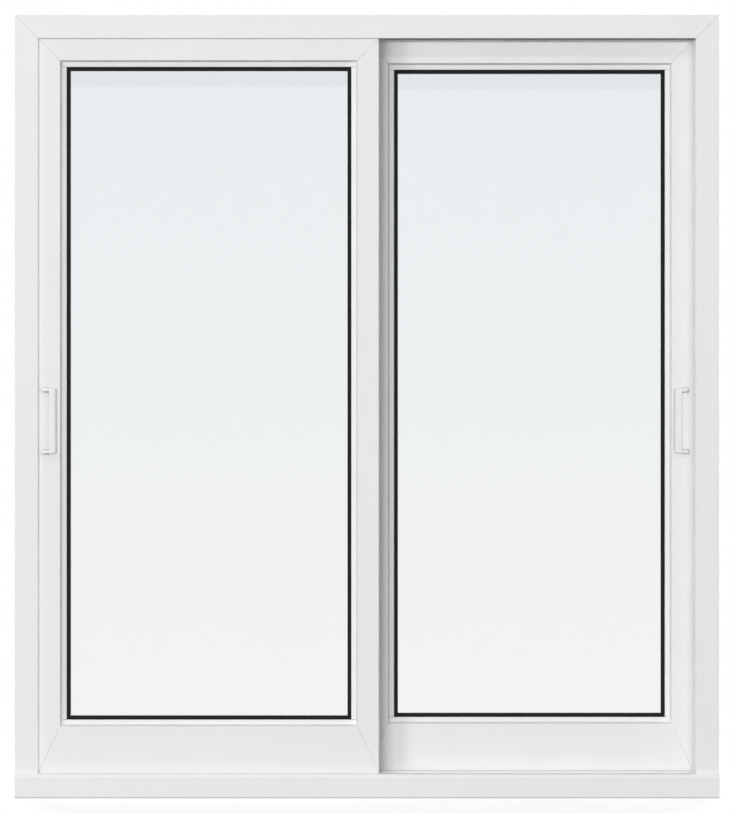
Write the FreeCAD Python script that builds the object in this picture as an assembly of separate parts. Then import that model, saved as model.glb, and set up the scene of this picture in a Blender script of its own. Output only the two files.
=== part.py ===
# White two-sash sliding patio door, seen from the room: a frame with two tracks, and two glazed
# sashes with a pull handle each that slide past one another.
# X runs right, Y away from the room and Z up. The origin is the middle of the sill's underside.

import FreeCAD, Part
import math
import os

Vector = FreeCAD.Vector

# All sizes are in millimetres.

# Outer frame
unit_width = 1816.0
unit_height = 2019.0
frame_face = 60.0            # face of the head and jambs, outer edge to sight line
frame_web = 24.0             # solid wall behind the channels, against the building
lip_thickness = 6.0
guide_thickness = 8.0        # upright fin in each channel that the sash groove straddles
guide_setback = 4.0          # fin tip behind the sight line
guide_flat = 1.0             # flat left between the rounds of the fin tip
edge_round = 2.0
seam_width = 1.3             # cleaned V groove along each welded mitre
seam_depth = 1.6
fixing_hole_radius = 4.0
fixing_hole_count = 4
fixing_end_distance = 215.0  # first and last hole from the ends of a jamb

# Sill
sill_height = 63.0
sill_floor = 27.0            # bottom of the two channels
sill_nose = 12.0             # nose in front of the jamb faces
nose_round = 11.0
foot_round = 5.0
track_flange_width = 24.0
track_flange_thickness = 3.0
track_web = 4.0
track_head_radius = 3.5
track_top = 57.7
track_end_gap = 0.5

# Sashes
sash_depth = 54.0
sash_clearance = 6.0         # sash to lip, sash to middle rib, handle to the passing sash
stile_face = 55.5            # seen face of the stiles and the top rail
bottom_rail_face = 121.0
head_tuck = 14.0             # sash edge hidden behind the head and jamb lips
sill_tuck = 13.0
left_past_middle = 31.0      # free edge of the meeting stile past the middle of the door
right_past_middle = 1.0
sash_edge_round = 2.0
guide_groove_width = 20.0
guide_groove_depth = 16.0
roller_groove_depth = 45.0

# Glazing, measured from the inner edge of the sash face and back from the face
chamfer_width = 4.0
chamfer_depth = 13.0
bead_width = 12.0
bead_slope = 4.0
bead_back = 19.5
bead_leg_width = 4.5
bead_leg_back = 30.0
bead_round = 2.0
bead_joint = 0.8
gasket_thickness = 2.5
gasket_bury = 7.5            # part of a gasket hidden between bead and glass
room_gasket_show = 10.0
outdoor_gasket_show = 6.0
gasket_lip = 1.5
glass_thickness = 4.0
glass_edge_gap = 5.0         # pane edge to the bottom of the glazing pocket
cavity = 14.0
spacer_edge_gap = 3.0
spacer_setback = 0.5         # spacer's sight edge behind the tip of the gasket lip
rear_lip_chamfer = 3.0

# Pull handles
handle_middle = 972.5
handle_height = 174.5
handle_width = 39.5
handle_from_sight = 9.3      # jamb sight line to the handle
handle_reach = 32.0
grip_width = 19.5
grip_thickness = 11.0
grip_round = 2.0
grip_shoulder_round = 8.5    # broad round of the grip towards the glass
arm_height = 12.0
arm_bend_round = 12.0
arm_inner_round = 6.0
handle_end_round = 2.8

# Rollers
roller_from_end = 130.0
wheel_radius = 17.0
wheel_groove_radius = 14.5
wheel_groove_round = 4.0
wheel_width = 12.4
running_gap = 0.3
axle_radius = 4.0
axle_gap = 0.2
housing_length = 70.0
housing_top = 4.0
housing_round = 8.0
cheek = 3.2
housing_side_gap = 0.3
housing_lift = 6.0           # housing above the sash's lower edge

# Interlock on the rear meeting stile
interlock_width = 30.0
interlock_thickness = 3.0
interlock_round = 1.0

# Sizes that follow from those above
sash_gap = handle_reach + sash_clearance
track_offset = (sash_depth + sash_gap) / 2
frame_depth = 2 * (lip_thickness + sash_clearance + sash_depth) + sash_gap
rib_half = sash_gap / 2 - sash_clearance
half_width = unit_width / 2
half_depth = frame_depth / 2
jamb_sight = half_width - frame_face
left_sash_sight = jamb_sight + left_past_middle
right_sash_sight = jamb_sight + right_past_middle
head_sight = unit_height - frame_face
channel_half = half_depth - lip_thickness
pocket_width = chamfer_width + bead_width
glass_front = bead_back + gasket_thickness
glass_back = glass_front + 2 * glass_thickness + cavity
rear_lip_front = glass_back + gasket_thickness
left_sash_front = -track_offset - sash_depth / 2
right_sash_front = track_offset - sash_depth / 2
wheel_axis = track_top + running_gap + wheel_groove_radius


def corner_arc(before, corner, after, radius):
    """Ends and middle of the round that replaces a corner of an outline."""
    back = (before - corner).normalize()
    ahead = (after - corner).normalize()
    half = back.getAngle(ahead) / 2
    inward = (back + ahead).normalize()
    centre = corner + inward * (radius / math.sin(half))
    reach = radius / math.tan(half)
    return corner + back * reach, centre - inward * radius, corner + ahead * reach


def section(corners, place):
    """Flat face from corners (a, b) or (a, b, radius), put in space by place(a, b)."""
    points = [place(corner[0], corner[1]) for corner in corners]
    edges = []
    joints = []
    for index, corner in enumerate(corners):
        if len(corner) == 3:
            after = points[(index + 1) % len(points)]
            start, middle, end = corner_arc(points[index - 1], points[index], after, corner[2])
            edges.append(Part.Arc(start, middle, end).toShape())
            joints.append((start, end))
        else:
            joints.append((points[index], points[index]))
    for index, joint in enumerate(joints):
        start = joint[1]
        end = joints[(index + 1) % len(joints)][0]
        if start.distanceToPoint(end) > 1e-6:
            edges.append(Part.makeLine(start, end))
    return Part.Face(Part.Wire(Part.__sortEdges__(edges)))


def block(x0, x1, y0, y1, z0, z1):
    return Part.makeBox(x1 - x0, y1 - y0, z1 - z0, Vector(x0, y0, z0))


def elevation(points):
    """Solid as deep as the door with the given outline in X and Z, to trim a bar with."""
    depth = unit_width
    face = section(points, lambda x, z: Vector(x, -depth, z))
    return face.extrude(Vector(0, 2 * depth, 0))


def seam(inner, outer, face, outward):
    """V groove from an inner to an outer corner, on the face at depth face."""
    start = Vector(inner[0], face, inner[1])
    run = Vector(outer[0] - inner[0], 0, outer[1] - inner[1])
    across = run.cross(Vector(0, 1, 0)).normalize() * seam_width
    proud = Vector(0, outward * seam_depth, 0)
    corners = [start + across + proud, start - across + proud, start - proud]
    triangle = Part.Face(Part.makePolygon(corners + corners[:1]))
    return triangle.extrude(run)


def mirrored(shape):
    return shape.mirror(Vector(0, 0, 0), Vector(1, 0, 0))


def save(name, shape):
    shape.exportStep("parts/" + name + ".step")


def frame_outline():
    """Comb section of the head and jambs: lips, guide fins and the middle rib on a web."""
    tip = frame_face - guide_setback
    fin = guide_thickness / 2
    fin_round = fin - guide_flat / 2
    teeth = [
        (-half_depth, -channel_half, frame_face, edge_round),
        (-track_offset - fin, -track_offset + fin, tip, fin_round),
        (-rib_half, rib_half, frame_face, edge_round),
        (track_offset - fin, track_offset + fin, tip, fin_round),
        (channel_half, half_depth, frame_face, edge_round),
    ]
    corners = []
    for start, end, height, radius in teeth:
        corners += [(frame_web, start), (height, start, radius), (height, end, radius), (frame_web, end)]
    return [(0, -half_depth)] + corners[1:-1] + [(0, half_depth)]


def frame_seams(side):
    inner = (side * jamb_sight, head_sight)
    outer = (side * half_width, unit_height)
    front = seam(inner, outer, -half_depth, -1)
    back = seam(inner, outer, half_depth, 1)
    return [front, back]


def frame_head():
    face = section(frame_outline(), lambda u, y: Vector(-half_width, y, unit_height - u))
    bar = face.extrude(Vector(unit_width, 0, 0))
    mitre = elevation([(-half_width, unit_height), (half_width, unit_height),
                       (jamb_sight, head_sight), (-jamb_sight, head_sight)])
    return bar.common(mitre).cut(frame_seams(-1) + frame_seams(1))


def frame_left_jamb():
    face = section(frame_outline(), lambda u, y: Vector(-half_width + u, y, sill_height))
    bar = face.extrude(Vector(0, 0, unit_height - sill_height))
    mitre = elevation([(-half_width, sill_height), (-half_width, unit_height),
                       (-jamb_sight, head_sight), (-jamb_sight, sill_height)])
    spacing = (unit_height - 2 * fixing_end_distance) / (fixing_hole_count - 1)
    holes = []
    for index in range(fixing_hole_count):
        start = Vector(-half_width, 0, fixing_end_distance + index * spacing)
        holes.append(Part.makeCylinder(fixing_hole_radius, frame_face, start, Vector(1, 0, 0)))
    return bar.common(mitre).cut(frame_seams(-1) + holes)


def sill():
    """Solid threshold with a rounded nose, hollowed by one channel for each sash."""
    front = -half_depth - sill_nose
    face = section([(front, 0, foot_round), (front, sill_height, nose_round),
                    (half_depth, sill_height, edge_round), (half_depth, 0, edge_round)],
                   lambda y, z: Vector(-half_width, y, z))
    body = face.extrude(Vector(unit_width, 0, 0))
    end = half_width - frame_web
    front_channel = block(-end, end, -channel_half, -rib_half, sill_floor, unit_height)
    rear_channel = block(-end, end, rib_half, channel_half, sill_floor, unit_height)
    return body.cut([front_channel, rear_channel])


def track_rail(middle):
    """Flanged rail with a round running head."""
    web = track_web / 2
    flange = track_flange_width / 2
    flange_top = sill_floor + track_flange_thickness
    centre = track_top - track_head_radius
    neck = centre - math.sqrt(track_head_radius ** 2 - web ** 2)
    start = -half_width + frame_web + track_end_gap

    def place(y, z):
        return Vector(start, middle + y, z)

    foot = [place(web, neck), place(web, flange_top), place(flange, flange_top),
            place(flange, sill_floor), place(-flange, sill_floor),
            place(-flange, flange_top), place(-web, flange_top), place(-web, neck)]
    head = Part.Arc(place(-web, neck), place(0, track_top), place(web, neck)).toShape()
    face = Part.Face(Part.Wire(Part.makePolygon(foot).Edges + [head]))
    return face.extrude(Vector(-2 * start, 0, 0))


def sash_outline(face_width, front):
    """Section of a sash bar: face, chamfered inner edge, glazing pocket and rear lip."""
    back = front + sash_depth
    return [(-face_width, front, sash_edge_round), (0, front),
            (chamfer_width, front + chamfer_depth), (chamfer_width, front + rear_lip_front),
            (pocket_width, front + rear_lip_front), (pocket_width, back, rear_lip_chamfer),
            (-face_width, back, sash_edge_round)]


def bead_outline(front):
    """Section of a glazing bead: sloped face with a rounded nose, and a leg behind it."""
    start = front + chamfer_depth
    leg = chamfer_width + bead_leg_width
    return [(chamfer_width, start), (pocket_width, start + bead_slope, bead_round),
            (pocket_width, front + bead_back), (leg, front + bead_back),
            (leg, front + bead_leg_back), (chamfer_width, front + bead_leg_back)]


def room_gasket_outline(front):
    back = front + glass_front
    start = front + bead_back
    show = pocket_width + room_gasket_show
    return [(pocket_width - gasket_bury, start), (pocket_width, start),
            (show, back - gasket_lip), (show, back), (pocket_width - gasket_bury, back)]


def outdoor_gasket_outline(front):
    back = front + glass_back
    end = front + rear_lip_front
    show = pocket_width + outdoor_gasket_show
    return [(pocket_width - gasket_bury, end), (pocket_width, end),
            (show, back + gasket_lip), (show, back), (pocket_width - gasket_bury, back)]


def spacer_outline(front):
    start = front + glass_front + glass_thickness
    outer = chamfer_width + glass_edge_gap + spacer_edge_gap
    inner = pocket_width + room_gasket_show - spacer_setback
    return [(outer, start), (inner, start), (inner, start + cavity), (outer, start + cavity)]


def side_bars(outline, left, right, bottom, top):
    """An outline run along the four sides of an opening, top, bottom, left and right in turn."""
    up = Vector(0, 0, top - bottom)
    along = Vector(right - left, 0, 0)
    return [
        section(outline(0), lambda a, y: Vector(left, y, top - a)).extrude(along),
        section(outline(1), lambda a, y: Vector(left, y, bottom + a)).extrude(along),
        section(outline(2), lambda a, y: Vector(left + a, y, bottom)).extrude(up),
        section(outline(3), lambda a, y: Vector(right - a, y, bottom)).extrude(up),
    ]


def ring(outline, left, right, bottom, top):
    """One closed piece with the outline all round an opening, mitred in the corners."""
    deep = pocket_width * 3
    inner_left, inner_right = left + deep, right - deep
    inner_bottom, inner_top = bottom + deep, top - deep
    trims = [
        [(left, top), (right, top), (inner_right, inner_top), (inner_left, inner_top)],
        [(left, bottom), (right, bottom), (inner_right, inner_bottom), (inner_left, inner_bottom)],
        [(left, bottom), (left, top), (inner_left, inner_top), (inner_left, inner_bottom)],
        [(right, bottom), (right, top), (inner_right, inner_top), (inner_right, inner_bottom)],
    ]
    bars = side_bars(lambda side: outline, left, right, bottom, top)
    pieces = [bar.common(elevation(trim)) for bar, trim in zip(bars, trims)]
    return pieces[0].fuse(pieces[1:]).removeSplitter()


def pull_handle(front, sight):
    """C-shaped pull: an upright grip held off the stile by a bent arm at each end."""
    outer = sight + handle_from_sight
    inner = outer + handle_width
    grip = inner - grip_width
    far = front - handle_reach
    near = far + grip_thickness
    bottom = handle_middle - handle_height / 2
    top = bottom + handle_height
    arm = [(outer, front), (outer, far, arm_bend_round), (inner, far, grip_shoulder_round),
           (inner, near, grip_round), (grip, near, arm_inner_round), (grip, front)]
    bar = [(grip, far, grip_round), (inner, far, grip_shoulder_round), (inner, near, grip_round),
           (grip, near, grip_round)]
    lower = section(arm, lambda x, y: Vector(x, y, bottom)).extrude(Vector(0, 0, arm_height))
    upper = section(arm, lambda x, y: Vector(x, y, top - arm_height)).extrude(Vector(0, 0, arm_height))
    middle = section(bar, lambda x, y: Vector(x, y, bottom)).extrude(Vector(0, 0, handle_height))
    body = lower.fuse([upper, middle]).removeSplitter()
    ends = []
    for edge in body.Edges:
        box = edge.BoundBox
        level = box.ZMax - box.ZMin < 1e-6
        at_end = abs(box.ZMin - bottom) < 1e-6 or abs(box.ZMax - top) < 1e-6
        on_stile = box.YMax > front - 1e-6 and box.YMin > front - 1e-6
        if level and at_end and not on_stile:
            ends.append(edge)
    return body.makeFillet(handle_end_round, ends)


def roller_housing(middle, x, floor):
    """Channel-shaped carrier with two cheeks, open below."""
    half = guide_groove_width / 2 - housing_side_gap
    ceiling = floor + roller_groove_depth
    face = section([(x - housing_length / 2, floor + housing_lift, housing_round),
                    (x + housing_length / 2, floor + housing_lift, housing_round),
                    (x + housing_length / 2, ceiling), (x - housing_length / 2, ceiling)],
                   lambda across, up: Vector(across, middle - half, up))
    body = face.extrude(Vector(0, 2 * half, 0))
    inside = half - cheek
    slot = block(x - housing_length, x + housing_length, middle - inside, middle + inside,
                 floor, ceiling - housing_top)
    bore_start = Vector(x, middle - half, wheel_axis)
    bore = Part.makeCylinder(axle_radius + axle_gap, 2 * half, bore_start, Vector(0, 1, 0))
    return body.cut([slot, bore])


def roller_wheel(middle, x):
    """Wheel with a round groove in the rim that runs over the track's head."""
    half = wheel_width / 2
    bore = axle_radius + axle_gap
    rise = wheel_groove_radius + wheel_groove_round - wheel_radius
    mouth = math.sqrt(wheel_groove_round ** 2 - rise ** 2)

    def place(radius, y):
        return Vector(x, middle + y, wheel_axis + radius)

    side = Part.makePolygon([place(wheel_radius, mouth), place(wheel_radius, half), place(bore, half),
                             place(bore, -half), place(wheel_radius, -half), place(wheel_radius, -mouth)])
    groove = Part.Arc(place(wheel_radius, -mouth), place(wheel_groove_radius, 0), place(wheel_radius, mouth))
    face = Part.Face(Part.Wire(side.Edges + [groove.toShape()]))
    return face.revolve(Vector(x, middle, wheel_axis), Vector(0, 1, 0), 360)


def roller_axle(middle, x):
    half = guide_groove_width / 2 - housing_side_gap
    return Part.makeCylinder(axle_radius, 2 * half, Vector(x, middle - half, wheel_axis), Vector(0, 1, 0))


def sash(front, sight_width):
    """All pieces of one sash with its lock stile on the left, as a dictionary of shapes."""
    back = front + sash_depth
    middle = front + sash_depth / 2
    sight = -jamb_sight
    edge = sight - head_tuck
    free = sight + sight_width
    left = sight + stile_face
    right = free - stile_face
    top_edge = head_sight + head_tuck
    bottom_edge = sill_height - sill_tuck
    top = head_sight - stile_face
    bottom = sill_height + bottom_rail_face
    foot = sight - sill_tuck * stile_face / bottom_rail_face
    deep = pocket_width * 2

    fin_half = guide_groove_width / 2
    grooves = [
        block(edge, free, middle - fin_half, middle + fin_half, top_edge - guide_groove_depth, unit_height),
        block(edge, free, middle - fin_half, middle + fin_half, 0, bottom_edge + roller_groove_depth),
        block(-half_width, edge + guide_groove_depth, middle - fin_half, middle + fin_half, 0, unit_height),
    ]
    corners = [
        ((left, top), (edge, top_edge)),
        ((right, top), (free, head_sight)),
        ((left, bottom), (foot, bottom_edge)),
        ((right, bottom), (free, sill_height)),
    ]
    seams = []
    for inner, outer in corners:
        seams.append(seam(inner, outer, front, -1))
        seams.append(seam(inner, outer, back, 1))

    trims = {
        "top_rail": [(edge, top_edge), (free, top_edge), (free, head_sight), (right, top),
                     (right - deep, top - deep), (left + deep, top - deep)],
        "bottom_rail": [(foot, bottom_edge), (left, bottom), (left + deep, bottom + deep),
                        (right - deep, bottom + deep), (right, bottom), (free, sill_height),
                        (free, bottom_edge)],
        "lock_stile": [(edge, top_edge), (left + deep, top - deep), (left + deep, bottom + deep),
                       (left, bottom), (foot, bottom_edge), (edge, bottom_edge)],
        "meeting_stile": [(free, head_sight), (free, sill_height), (right, bottom),
                          (right - deep, bottom + deep), (right - deep, top - deep), (right, top)],
    }
    across = Vector(free - edge, 0, 0)
    up = Vector(0, 0, top_edge - bottom_edge)
    narrow = sash_outline(stile_face + head_tuck, front)
    tall = sash_outline(bottom_rail_face + sill_tuck, front)
    free_side = sash_outline(stile_face, front)
    bars = {
        "top_rail": section(narrow, lambda a, y: Vector(edge, y, top - a)).extrude(across),
        "bottom_rail": section(tall, lambda a, y: Vector(edge, y, bottom + a)).extrude(across),
        "lock_stile": section(narrow, lambda a, y: Vector(left + a, y, bottom_edge)).extrude(up),
        "meeting_stile": section(free_side, lambda a, y: Vector(right - a, y, bottom_edge)).extrude(up),
    }
    pieces = {}
    for name, bar in bars.items():
        pieces["sash_" + name] = bar.common(elevation(trims[name])).cut(grooves + seams)

    bead = bead_outline(front)
    beads = side_bars(lambda side: bead, left, right, bottom, top)
    long_bead = block(left + chamfer_width, right - chamfer_width, front, back, bottom, top)
    inside = pocket_width + bead_joint
    short_bead = block(left, right, front, back, bottom + inside, top - inside)
    pieces["bead_top"] = beads[0].common(long_bead)
    pieces["bead_bottom"] = beads[1].common(long_bead)
    pieces["bead_lock_side"] = beads[2].common(short_bead)
    pieces["bead_meeting_side"] = beads[3].common(short_bead)

    cover = chamfer_width + glass_edge_gap
    room_face = front + glass_front
    outdoor_face = front + glass_back
    for name, pane_front in (("room_pane", room_face), ("outdoor_pane", outdoor_face - glass_thickness)):
        pieces[name] = block(left + cover, right - cover, pane_front, pane_front + glass_thickness,
                             bottom + cover, top - cover)
    pieces["spacer"] = ring(spacer_outline(front), left, right, bottom, top)
    pieces["room_gasket"] = ring(room_gasket_outline(front), left, right, bottom, top)
    pieces["outdoor_gasket"] = ring(outdoor_gasket_outline(front), left, right, bottom, top)
    pieces["handle"] = pull_handle(front, sight)

    spots = [edge + roller_from_end, free - roller_from_end]
    pieces["roller_housings"] = Part.makeCompound([roller_housing(middle, x, bottom_edge) for x in spots])
    pieces["roller_wheels"] = Part.makeCompound([roller_wheel(middle, x) for x in spots])
    pieces["roller_axles"] = Part.makeCompound([roller_axle(middle, x) for x in spots])
    return pieces


def interlock():
    """L strip on the front of the rear meeting stile; its fin closes the gap between the sashes."""
    free = jamb_sight - right_sash_sight
    bottom = sill_height + sash_clearance
    top = head_sight - sash_clearance
    base = right_sash_front - interlock_thickness
    tip = right_sash_front - handle_reach
    fin = free + interlock_thickness
    end = free + interlock_width
    face = section([(free, right_sash_front), (free, tip, interlock_round), (fin, tip, interlock_round),
                    (fin, base), (end, base, interlock_round), (end, right_sash_front)],
                   lambda x, y: Vector(x, y, bottom))
    return face.extrude(Vector(0, 0, top - bottom))


os.makedirs("parts", exist_ok=True)
save("frame_head", frame_head())
save("frame_left_jamb", frame_left_jamb())
save("frame_right_jamb", mirrored(frame_left_jamb()))
save("sill", sill())
save("front_track", track_rail(-track_offset))
save("rear_track", track_rail(track_offset))
for piece, shape in sash(left_sash_front, left_sash_sight).items():
    save("left_" + piece, shape)
for piece, shape in sash(right_sash_front, right_sash_sight).items():
    save("right_" + piece, mirrored(shape))
save("right_interlock", interlock())
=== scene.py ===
import bmesh
import bpy
import math
from mathutils import Matrix, Vector


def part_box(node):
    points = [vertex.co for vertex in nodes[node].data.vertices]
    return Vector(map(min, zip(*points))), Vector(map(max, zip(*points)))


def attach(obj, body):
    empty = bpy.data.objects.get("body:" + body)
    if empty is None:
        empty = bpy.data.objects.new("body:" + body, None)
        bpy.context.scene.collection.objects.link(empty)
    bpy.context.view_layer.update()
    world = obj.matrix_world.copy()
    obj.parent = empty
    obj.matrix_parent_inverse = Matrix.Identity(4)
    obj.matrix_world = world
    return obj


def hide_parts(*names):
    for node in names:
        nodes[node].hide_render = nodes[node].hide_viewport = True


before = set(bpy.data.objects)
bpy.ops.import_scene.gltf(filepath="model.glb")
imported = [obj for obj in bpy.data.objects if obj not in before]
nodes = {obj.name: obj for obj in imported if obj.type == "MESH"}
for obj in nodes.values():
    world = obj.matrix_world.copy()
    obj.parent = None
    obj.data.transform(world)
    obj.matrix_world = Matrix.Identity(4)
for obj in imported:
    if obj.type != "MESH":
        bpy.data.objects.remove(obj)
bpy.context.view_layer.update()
print("frame loaded:", len(nodes), "nodes")

sides = ("left", "right")
mmPerMetre = 1000


# sRGB hex to linear
def hexColour(code):
    channels = [int(code[i:i + 2], 16) / 255 for i in (1, 3, 5)]
    linear = [c / 12.92 if c <= 0.04045 else ((c + 0.055) / 1.055) ** 2.4 for c in channels]
    return (*linear, 1.0)


# inputs go by a socket's name or number, and take a value or another node's output
def addNode(tree, kind, settings=None, inputs=None):
    node = tree.nodes.new(kind)
    for name, value in (settings or {}).items():
        setattr(node, name, value)
    for name, value in (inputs or {}).items():
        if isinstance(value, bpy.types.NodeSocket):
            tree.links.new(value, node.inputs[name])
        else:
            node.inputs[name].default_value = value
    return node


def newMaterial(name):
    material = bpy.data.materials.new(name)
    material.use_nodes = True
    material.node_tree.nodes.clear()
    return material, material.node_tree


def dress(material, *names):
    for name in names:
        nodes[name].data.materials.clear()
        nodes[name].data.materials.append(material)


def addObject(name, data):
    piece = bpy.data.objects.new(name, data)
    bpy.context.scene.collection.objects.link(piece)
    return piece


def addMesh(name, mesh, material):
    data = bpy.data.meshes.new(name)
    mesh.to_mesh(data)
    mesh.free()
    data.materials.append(material)
    return addObject(name, data)


# Extruded PVC-U: a clean satin white with a soft sheen and faint die lines along each bar.
# Real die lines are too fine to show, so they are drawn coarser
pvc = {"pale": "#ebebeb", "dull": "#e7e7e7", "roughness": (0.32, 0.44), "ior": 1.53,
       "dieLineMm": 4.0, "dieLineRunMm": 1250.0, "dieLineDepthMm": 0.015, "dieLineDetail": 2.0, "bump": 0.5,
       "patchMm": 160.0, "patchDetail": 3.0}


def extrudedPvc(name, along):
    material, tree = newMaterial(name)
    coords = addNode(tree, "ShaderNodeTexCoord")
    lineScale = [mmPerMetre / pvc["dieLineMm"]] * 3
    lineScale[along] = mmPerMetre / pvc["dieLineRunMm"]
    stretched = addNode(tree, "ShaderNodeMapping", inputs={
        "Vector": coords.outputs["Object"], "Scale": lineScale})
    dieLines = addNode(tree, "ShaderNodeTexNoise", inputs={
        "Vector": stretched.outputs["Vector"], "Scale": 1.0, "Detail": pvc["dieLineDetail"]})
    patches = addNode(tree, "ShaderNodeTexNoise", inputs={
        "Vector": coords.outputs["Object"], "Scale": mmPerMetre / pvc["patchMm"],
        "Detail": pvc["patchDetail"]})
    colour = addNode(tree, "ShaderNodeMixRGB", inputs={
        "Fac": patches.outputs["Fac"], "Color1": hexColour(pvc["dull"]), "Color2": hexColour(pvc["pale"])})
    gloss = addNode(tree, "ShaderNodeMapRange", inputs={
        "Value": dieLines.outputs["Fac"], "To Min": pvc["roughness"][0], "To Max": pvc["roughness"][1]})
    relief = addNode(tree, "ShaderNodeBump", inputs={
        "Height": dieLines.outputs["Fac"], "Strength": pvc["bump"],
        "Distance": pvc["dieLineDepthMm"] / mmPerMetre})
    skin = addNode(tree, "ShaderNodeBsdfPrincipled", inputs={
        "Base Color": colour.outputs["Color"], "Roughness": gloss.outputs["Result"], "IOR": pvc["ior"],
        "Normal": relief.outputs["Normal"]})
    addNode(tree, "ShaderNodeOutputMaterial", inputs={"Surface": skin.outputs["BSDF"]})
    return material


levelPvc = extrudedPvc("extruded white PVC, level bars", along=0)  # the lines run along x
uprightPvc = extrudedPvc("extruded white PVC, upright bars", along=2)  # and here along z
dress(levelPvc, "frame_head", "sill")
dress(uprightPvc, "frame_left_jamb", "frame_right_jamb")
for side in sides:
    dress(levelPvc, f"{side}_sash_top_rail", f"{side}_sash_bottom_rail",
          f"{side}_bead_top", f"{side}_bead_bottom")
    dress(uprightPvc, f"{side}_sash_lock_stile", f"{side}_sash_meeting_stile",
          f"{side}_bead_lock_side", f"{side}_bead_meeting_side")
print("frame and sashes dressed")


# Float glass: clear, with a breath of grey painted in as a reflection that deepens upwards, and a painted
# shadow, a darker strip under the top rail.
# The shadow colour is what the glass leaves of the lamps' light
floatGlass = {"low": "#f9f9f9", "high": "#f3f6f7", "lowZ": 0.2, "highZ": 1.84, "ior": 1.52,
              "strip": "#eff2f3", "stripZ": 1.838, "stripSoft": 0.007, "shadow": "#f4f8f8"}


def clearGlass():
    material, tree = newMaterial("clear float glass")
    coords = addNode(tree, "ShaderNodeTexCoord")
    place = addNode(tree, "ShaderNodeSeparateXYZ", inputs={"Vector": coords.outputs["Object"]})
    # painted reflection: the pane's grey deepens from its foot towards its top
    height = addNode(tree, "ShaderNodeMapRange", inputs={
        "Value": place.outputs["Z"], "From Min": floatGlass["lowZ"], "From Max": floatGlass["highZ"]})
    pane = addNode(tree, "ShaderNodeMixRGB", inputs={
        "Fac": height.outputs["Result"], "Color1": hexColour(floatGlass["low"]),
        "Color2": hexColour(floatGlass["high"])})
    # painted shadow: a darker strip along the top of the pane, under the top rail
    shadeStripMask = addNode(tree, "ShaderNodeMapRange", {"interpolation_type": "SMOOTHSTEP"}, {
        "Value": place.outputs["Z"], "From Min": floatGlass["stripZ"] - floatGlass["stripSoft"],
        "From Max": floatGlass["stripZ"] + floatGlass["stripSoft"]})
    tintWithPaintedShade = addNode(tree, "ShaderNodeMixRGB", inputs={
        "Fac": shadeStripMask.outputs["Result"], "Color1": pane.outputs["Color"],
        "Color2": hexColour(floatGlass["strip"])})
    body = addNode(tree, "ShaderNodeBsdfPrincipled", inputs={
        "Base Color": tintWithPaintedShade.outputs["Color"], "Roughness": 0.0, "IOR": floatGlass["ior"],
        "Transmission Weight": 1.0})
    passing = addNode(tree, "ShaderNodeBsdfTransparent", inputs={"Color": hexColour(floatGlass["shadow"])})
    path = addNode(tree, "ShaderNodeLightPath")
    either = addNode(tree, "ShaderNodeMixShader", inputs={
        "Fac": path.outputs["Is Shadow Ray"], 1: body.outputs["BSDF"], 2: passing.outputs["BSDF"]})
    addNode(tree, "ShaderNodeOutputMaterial", inputs={"Surface": either.outputs["Shader"]})
    return material


# EPDM seal: matte soft black with a fine moulded grain, drawn coarser than the real one to show
seal = {"dark": "#101011", "pale": "#1a1a1b", "roughness": 0.6, "ior": 1.5, "specular": 0.2,
        "grainMm": 1.2, "grainDepthMm": 0.05, "grainDetail": 3.0, "bump": 0.4}


def gasketRubber():
    material, tree = newMaterial("black EPDM gasket")
    coords = addNode(tree, "ShaderNodeTexCoord")
    grain = addNode(tree, "ShaderNodeTexNoise", inputs={
        "Vector": coords.outputs["Object"], "Scale": mmPerMetre / seal["grainMm"],
        "Detail": seal["grainDetail"]})
    colour = addNode(tree, "ShaderNodeMixRGB", inputs={
        "Fac": grain.outputs["Fac"], "Color1": hexColour(seal["dark"]), "Color2": hexColour(seal["pale"])})
    relief = addNode(tree, "ShaderNodeBump", inputs={
        "Height": grain.outputs["Fac"], "Strength": seal["bump"],
        "Distance": seal["grainDepthMm"] / mmPerMetre})
    rubber = addNode(tree, "ShaderNodeBsdfPrincipled", inputs={
        "Base Color": colour.outputs["Color"], "Roughness": seal["roughness"], "IOR": seal["ior"],
        "Specular IOR Level": seal["specular"], "Normal": relief.outputs["Normal"]})
    addNode(tree, "ShaderNodeOutputMaterial", inputs={"Surface": rubber.outputs["BSDF"]})
    return material


# Powder-coated die casting: white with a fine orange peel
coating = {"pale": "#ebebeb", "dull": "#e7e7e7", "roughness": 0.42, "ior": 1.5,
           "peelMm": 1.6, "peelDepthMm": 0.03, "peelDetail": 1.0, "bump": 0.35}


def powderCoat():
    material, tree = newMaterial("white powder-coated casting")
    coords = addNode(tree, "ShaderNodeTexCoord")
    peel = addNode(tree, "ShaderNodeTexNoise", inputs={
        "Vector": coords.outputs["Object"], "Scale": mmPerMetre / coating["peelMm"],
        "Detail": coating["peelDetail"]})
    colour = addNode(tree, "ShaderNodeMixRGB", inputs={
        "Fac": peel.outputs["Fac"], "Color1": hexColour(coating["dull"]),
        "Color2": hexColour(coating["pale"])})
    relief = addNode(tree, "ShaderNodeBump", inputs={
        "Height": peel.outputs["Fac"], "Strength": coating["bump"],
        "Distance": coating["peelDepthMm"] / mmPerMetre})
    paint = addNode(tree, "ShaderNodeBsdfPrincipled", inputs={
        "Base Color": colour.outputs["Color"], "Roughness": coating["roughness"], "IOR": coating["ior"],
        "Normal": relief.outputs["Normal"]})
    addNode(tree, "ShaderNodeOutputMaterial", inputs={"Surface": paint.outputs["BSDF"]})
    return material


# Mill-finish aluminium: bright grey with long drawn lines, coarser than the real ones to show
track = {"pale": "#d5d6d8", "dark": "#b9babd", "roughness": (0.25, 0.42),
         "lineMm": 1.5, "lineRunMm": mmPerMetre / 3, "lineDepthMm": 0.02, "lineDetail": 4.0, "bump": 0.5}


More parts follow.
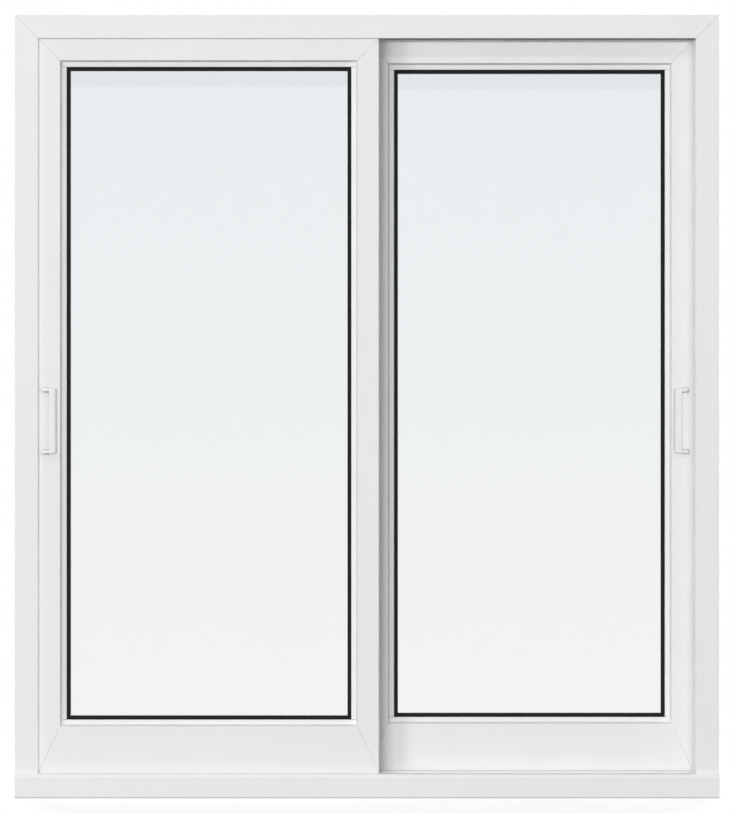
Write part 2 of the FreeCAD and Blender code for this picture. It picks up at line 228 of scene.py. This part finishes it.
def drawnAluminium():
    material, tree = newMaterial("mill-finish aluminium track")
    coords = addNode(tree, "ShaderNodeTexCoord")
    fine, run = mmPerMetre / track["lineMm"], mmPerMetre / track["lineRunMm"]
    stretched = addNode(tree, "ShaderNodeMapping", inputs={
        "Vector": coords.outputs["Object"], "Scale": (run, fine, fine)})
    lines = addNode(tree, "ShaderNodeTexNoise", inputs={
        "Vector": stretched.outputs["Vector"], "Scale": 1.0, "Detail": track["lineDetail"]})
    colour = addNode(tree, "ShaderNodeMixRGB", inputs={
        "Fac": lines.outputs["Fac"], "Color1": hexColour(track["dark"]), "Color2": hexColour(track["pale"])})
    gloss = addNode(tree, "ShaderNodeMapRange", inputs={
        "Value": lines.outputs["Fac"], "To Min": track["roughness"][0], "To Max": track["roughness"][1]})
    relief = addNode(tree, "ShaderNodeBump", inputs={
        "Height": lines.outputs["Fac"], "Strength": track["bump"],
        "Distance": track["lineDepthMm"] / mmPerMetre})
    metal = addNode(tree, "ShaderNodeBsdfPrincipled", inputs={
        "Base Color": colour.outputs["Color"], "Metallic": 1.0, "Roughness": gloss.outputs["Result"],
        "Normal": relief.outputs["Normal"]})
    addNode(tree, "ShaderNodeOutputMaterial", inputs={"Surface": metal.outputs["BSDF"]})
    return material


# Zinc-plated pressed steel: cool grey with soft cloudy spangle
zinc = {"pale": "#c9cbce", "dark": "#a6a8ac", "roughness": (0.28, 0.5), "cloudMm": 9.0, "cloudDetail": 4.0}


def platedSteel():
    material, tree = newMaterial("zinc-plated steel")
    coords = addNode(tree, "ShaderNodeTexCoord")
    clouds = addNode(tree, "ShaderNodeTexNoise", inputs={
        "Vector": coords.outputs["Object"], "Scale": mmPerMetre / zinc["cloudMm"],
        "Detail": zinc["cloudDetail"]})
    colour = addNode(tree, "ShaderNodeMixRGB", inputs={
        "Fac": clouds.outputs["Fac"], "Color1": hexColour(zinc["dark"]), "Color2": hexColour(zinc["pale"])})
    gloss = addNode(tree, "ShaderNodeMapRange", inputs={
        "Value": clouds.outputs["Fac"], "To Min": zinc["roughness"][0], "To Max": zinc["roughness"][1]})
    metal = addNode(tree, "ShaderNodeBsdfPrincipled", inputs={
        "Base Color": colour.outputs["Color"], "Metallic": 1.0, "Roughness": gloss.outputs["Result"]})
    addNode(tree, "ShaderNodeOutputMaterial", inputs={"Surface": metal.outputs["BSDF"]})
    return material


# Acetal wheel: milky off-white, waxy, with a slight moulded mottle
wheel = {"pale": "#e4e1d8", "dull": "#d6d2c6", "roughness": 0.42, "ior": 1.48,
         "mottleMm": 6.0, "mottleDetail": 2.0}


def acetalResin():
    material, tree = newMaterial("moulded acetal")
    coords = addNode(tree, "ShaderNodeTexCoord")
    mottle = addNode(tree, "ShaderNodeTexNoise", inputs={
        "Vector": coords.outputs["Object"], "Scale": mmPerMetre / wheel["mottleMm"],
        "Detail": wheel["mottleDetail"]})
    colour = addNode(tree, "ShaderNodeMixRGB", inputs={
        "Fac": mottle.outputs["Fac"], "Color1": hexColour(wheel["dull"]), "Color2": hexColour(wheel["pale"])})
    resin = addNode(tree, "ShaderNodeBsdfPrincipled", inputs={
        "Base Color": colour.outputs["Color"], "Roughness": wheel["roughness"], "IOR": wheel["ior"]})
    addNode(tree, "ShaderNodeOutputMaterial", inputs={"Surface": resin.outputs["BSDF"]})
    return material


glass = clearGlass()
rubber = gasketRubber()
coatedCasting = powderCoat()
aluminium = drawnAluminium()
steel = platedSteel()
acetal = acetalResin()
dress(aluminium, "front_track", "rear_track")
dress(coatedCasting, "right_interlock")
for side in sides:
    dress(glass, f"{side}_room_pane", f"{side}_outdoor_pane")
    dress(rubber, f"{side}_room_gasket", f"{side}_outdoor_gasket", f"{side}_spacer")
    dress(steel, f"{side}_roller_housings", f"{side}_roller_axles")
    dress(acetal, f"{side}_roller_wheels")
print("glazing and fittings dressed")


# Pull handles: one cast C each, with arms that taper away from the stile and a grip with round outer corners
pull = {"gripWidth": 0.0195, "gripThickness": 0.011, "armHeight": 0.0145, "taper": 0.0032, "bend": 0.012,
        "shoulder": 0.0085, "crook": 0.005, "rim": 0.002, "corner": 0.007, "segments": 6}

# What tells their edges and faces apart: near and onCut in metres, faceOn a cosine, sharp in radians
telling = {"near": 1e-5, "onCut": 1e-6, "faceOn": 0.9, "sharp": 0.7}


def pushFaces(mesh, faces, move):
    pushed = bmesh.ops.extrude_face_region(mesh, geom=faces)["geom"]
    bmesh.ops.translate(mesh, vec=move, verts=[v for v in pushed if isinstance(v, bmesh.types.BMVert)])
    bmesh.ops.delete(mesh, geom=faces, context="FACES_ONLY")
    bmesh.ops.recalc_face_normals(mesh, faces=mesh.faces)


def roundEdges(mesh, edges, radius):
    bmesh.ops.bevel(mesh, geom=edges, offset=radius, affect="EDGES", segments=pull["segments"],
                    profile=0.5, material=-1)


def cutAcross(mesh, spot, facing):
    bmesh.ops.bisect_plane(mesh, geom=mesh.verts[:] + mesh.edges[:] + mesh.faces[:], dist=telling["onCut"],
                           plane_co=spot, plane_no=facing)


# draws the square at a corner of the grip in to a quarter disc
def turnCorner(mesh, x, z, inward):
    for vert in mesh.verts:
        across = 1 + (vert.co.x - x) / pull["corner"]
        along = 1 - inward * (vert.co.z - z) / pull["corner"]
        if across > 0 and along > 0:
            vert.co.x = x + pull["corner"] * (across * math.sqrt(1 - along ** 2 / 2) - 1)
            vert.co.z = z + inward * pull["corner"] * (1 - along * math.sqrt(1 - across ** 2 / 2))


def uprights(mesh, x, y):
    def standsThere(vert):
        return max(abs(vert.co.x - x), abs(vert.co.y - y)) < telling["near"]
    return [edge for edge in mesh.edges if all(standsThere(vert) for vert in edge.verts)]


def pullHandle(side, material):
    low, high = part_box(f"{side}_handle")
    middle = (low + high) / 2
    grip = Vector((pull["gripWidth"], pull["gripThickness"], high.z - low.z))
    gripX, gripBack = high.x - grip.x, low.y + grip.y
    lowerArm, upperArm = low.z + pull["armHeight"], high.z - pull["armHeight"]
    mesh = bmesh.new()
    bmesh.ops.create_cube(mesh, size=1.0)
    bmesh.ops.scale(mesh, vec=grip, verts=mesh.verts)
    bmesh.ops.translate(mesh, vec=(high.x - grip.x / 2, low.y + grip.y / 2, middle.z), verts=mesh.verts)
    for level in (lowerArm, upperArm):
        cutAcross(mesh, (0, 0, level), (0, 0, 1))
    bmesh.ops.recalc_face_normals(mesh, faces=mesh.faces)
    # the arms grow from both ends of the grip's open side, then back to the stile
    ends = [f for f in mesh.faces if f.normal.x < -telling["faceOn"]
            and not lowerArm < f.calc_center_median().z < upperArm]
    pushFaces(mesh, ends, (low.x - gripX, 0, 0))
    backs = [f for f in mesh.faces if f.normal.y > telling["faceOn"] and f.calc_center_median().x < gripX]
    pushFaces(mesh, backs, (0, high.y - gripBack, 0))
    for vert in mesh.verts:
        thinner = pull["taper"] * (high.y - vert.co.y) / (high.y - low.y)
        armMiddle = (low.z + lowerArm) / 2 if vert.co.z < middle.z else (upperArm + high.z) / 2
        vert.co.z += math.copysign(thinner, armMiddle - vert.co.z)
    roundEdges(mesh, uprights(mesh, high.x, low.y), pull["shoulder"])
    roundEdges(mesh, uprights(mesh, low.x, low.y), pull["bend"])
    crooks = [e for e in uprights(mesh, gripX, gripBack) if e.calc_face_angle_signed() < 0]
    roundEdges(mesh, crooks, pull["crook"])
    # every rim is rolled but the grip's upright one at the back and those on the stile
    back = uprights(mesh, high.x, gripBack)
    rims = [e for e in mesh.edges if e not in back and e.calc_face_angle_signed() > telling["sharp"]
            and min(e.verts[0].co.y, e.verts[1].co.y) < high.y - telling["near"]]
    roundEdges(mesh, rims, pull["rim"])
    # the grip's outer side is cut finely at both ends, and its corners are turned there
    inset = pull["taper"] * (high.y - gripBack) / (high.y - low.y)
    for step in range(1, pull["segments"] + 1):
        cut = pull["corner"] * step / pull["segments"]
        cutAcross(mesh, (high.x - cut, 0, 0), (1, 0, 0))
        cutAcross(mesh, (0, 0, low.z + inset + cut), (0, 0, 1))
        cutAcross(mesh, (0, 0, high.z - inset - cut), (0, 0, 1))
    turnCorner(mesh, high.x, low.z + inset, 1)
    turnCorner(mesh, high.x, high.z - inset, -1)
    if side == "right":
        bmesh.ops.scale(mesh, vec=(-1, 1, 1), space=Matrix.Translation(-middle), verts=mesh.verts)
    bmesh.ops.recalc_face_normals(mesh, faces=mesh.faces)
    for face in mesh.faces:
        face.smooth = True
    for edge in mesh.edges:
        edge.smooth = edge.calc_face_angle() < telling["sharp"]
    piece = addMesh(f"{side}_pull_handle", mesh, material)
    piece.modifiers.new("flat faces", "WEIGHTED_NORMAL").keep_sharp = True
    piece.visible_diffuse = False  # its own bounce would wash out its soft shadow on the stile
    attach(piece, f"{side}_sash")
    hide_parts(f"{side}_handle")
    return piece


handles = [pullHandle(side, coatedCasting) for side in sides]
print("handles cast")


# Studio: white paper floor that fades into a white surround. Paper is the floor's colour to the eye, bounce
# its colour to the door, lift what brings the seen paper near white, and ambient the surround's own light
studio = {"floorRadius": 7.0, "floorSegments": 96, "fadeFrom": 0.9, "fadeTo": 2.4, "paper": "#d0d0d0",
          "bounce": "#505050", "lift": 0.57, "surround": "#ffffff", "ambient": 0.22}


# one for rays that come from the eye, also through glass or off a shiny face, and nought for the rest
def seenRays(tree):
    path = addNode(tree, "ShaderNodeLightPath")
    through = addNode(tree, "ShaderNodeMath", {"operation": "MAXIMUM"}, {
        0: path.outputs["Is Camera Ray"], 1: path.outputs["Is Transmission Ray"]})
    mirrored = addNode(tree, "ShaderNodeMath", {"operation": "MAXIMUM"}, {
        0: through.outputs["Value"], 1: path.outputs["Is Glossy Ray"]})
    return mirrored.outputs["Value"]


def paperSweep():
    material, tree = newMaterial("white paper sweep")
    seen = seenRays(tree)
    colour = addNode(tree, "ShaderNodeMixRGB", inputs={
        "Fac": seen, "Color1": hexColour(studio["bounce"]), "Color2": hexColour(studio["paper"])})
    paper = addNode(tree, "ShaderNodeBsdfDiffuse", inputs={"Color": colour.outputs["Color"]})
    liftLevel = addNode(tree, "ShaderNodeMath", {"operation": "MULTIPLY"}, {0: seen, 1: studio["lift"]})
    lift = addNode(tree, "ShaderNodeEmission", inputs={"Strength": liftLevel.outputs["Value"]})
    lit = addNode(tree, "ShaderNodeAddShader", inputs={
        0: paper.outputs["BSDF"], 1: lift.outputs["Emission"]})
    white = addNode(tree, "ShaderNodeEmission", inputs={"Strength": seen})
    coords = addNode(tree, "ShaderNodeTexCoord")
    reach = addNode(tree, "ShaderNodeVectorMath", {"operation": "LENGTH"}, {0: coords.outputs["Object"]})
    fade = addNode(tree, "ShaderNodeMapRange", {"interpolation_type": "SMOOTHSTEP"}, {
        "Value": reach.outputs["Value"], "From Min": studio["fadeFrom"], "From Max": studio["fadeTo"]})
    blend = addNode(tree, "ShaderNodeMixShader", inputs={
        "Fac": fade.outputs["Result"], 1: lit.outputs["Shader"], 2: white.outputs["Emission"]})
    addNode(tree, "ShaderNodeOutputMaterial", inputs={"Surface": blend.outputs["Shader"]})
    return material


def paperFloor():
    mesh = bmesh.new()
    bmesh.ops.create_circle(mesh, cap_ends=True, segments=studio["floorSegments"],
                            radius=studio["floorRadius"])
    floor = addMesh("floor", mesh, paperSweep())


def whiteSurround():
    world = bpy.data.worlds.new("white surround")
    world.use_nodes = True
    tree = world.node_tree
    tree.nodes.clear()
    level = addNode(tree, "ShaderNodeMapRange", inputs={
        "Value": seenRays(tree), "To Min": studio["ambient"], "To Max": 1.0})
    sky = addNode(tree, "ShaderNodeBackground", inputs={
        "Color": hexColour(studio["surround"]), "Strength": level.outputs["Result"]})
    addNode(tree, "ShaderNodeOutputWorld", inputs={"Surface": sky.outputs["Background"]})
    bpy.context.scene.world = world


# Soft boxes: level is how bright one alone makes a white face that points at it
softBoxes = {
    "key": {"place": (-5.4, -19.3, 1.9), "size": (6.3, 1.4), "level": 0.37},
    "right": {"place": (2.4, -19.8, 1.9), "size": (4.0, 1.4), "level": 0.18},
    "left": {"place": (-12.6, -15.5, 1.9), "size": (4.0, 1.4), "level": 0.24},
    "top": {"place": (-2.0, -18.0, 8.6), "size": (1.5, 1.1), "level": 0.1},
    "overhead": {"place": (0.0, -2.5, 20.0), "size": (4.0, 4.0), "level": 0.1},
    "leftSide": {"place": (-18.0, 0.0, 4.0), "size": (4.0, 4.0), "level": 0.2},
    "rightSide": {"place": (18.0, 0.0, 4.0), "size": (4.0, 4.0), "level": 0.3},
    "backLeft": {"place": (-7.0, 18.0, 5.0), "size": (4.0, 4.0), "level": 0.42},
    "backRight": {"place": (7.0, 18.0, 5.0), "size": (4.0, 4.0), "level": 0.52},
}
doorMiddle = Vector((0, 0, 1.0))

# Pieces that cast no shadow from a box, because theirs would draw hard lines across the stiles
letBy = {"key": handles, "left": [*handles, nodes["frame_left_jamb"]]}


def softBox(name, place, size, level):
    away = Vector(place) - doorMiddle
    data = bpy.data.lights.new(name, "AREA")
    data.shape = "RECTANGLE"
    data.size, data.size_y = size
    data.energy = level * math.pi ** 2 * away.length_squared
    lamp = addObject(name, data)
    lamp.location = place
    lamp.rotation_euler = away.to_track_quat("Z", "Y").to_euler()
    lamp.visible_glossy = False  # no bright bars mirrored in the panes
    lamp.visible_transmission = False
    if name in letBy:
        passed = bpy.data.collections.new(f"lets the {name} box by")
        for piece in letBy[name]:
            passed.objects.link(piece)
        for entry in passed.collection_objects:
            entry.light_linking.link_state = "EXCLUDE"
        lamp.light_linking.blocker_collection = passed


paperFloor()
whiteSurround()
for name, box in softBoxes.items():
    softBox(name, **box)
print("studio lit")


# Camera: level with the door's middle, far enough for the slight narrowing of the rear sash
lens = {"distance": 10.8, "frontFace": -0.085, "middle": 1.0095, "imageHeight": 2.0964, "sensor": 36.0,
        "clipEnd": 100}


def doorCamera():
    data = bpy.data.cameras.new("camera")
    data.sensor_width = lens["sensor"]
    data.lens = lens["sensor"] * lens["distance"] / lens["imageHeight"]
    data.clip_end = lens["clipEnd"]
    camera = addObject("camera", data)
    camera.location = (0, lens["frontFace"] - lens["distance"], lens["middle"])
    camera.rotation_euler = (math.radians(90), 0, 0)
    bpy.context.scene.camera = camera


doorCamera()
bpy.context.scene.view_settings.view_transform = "Standard"
print("camera placed")
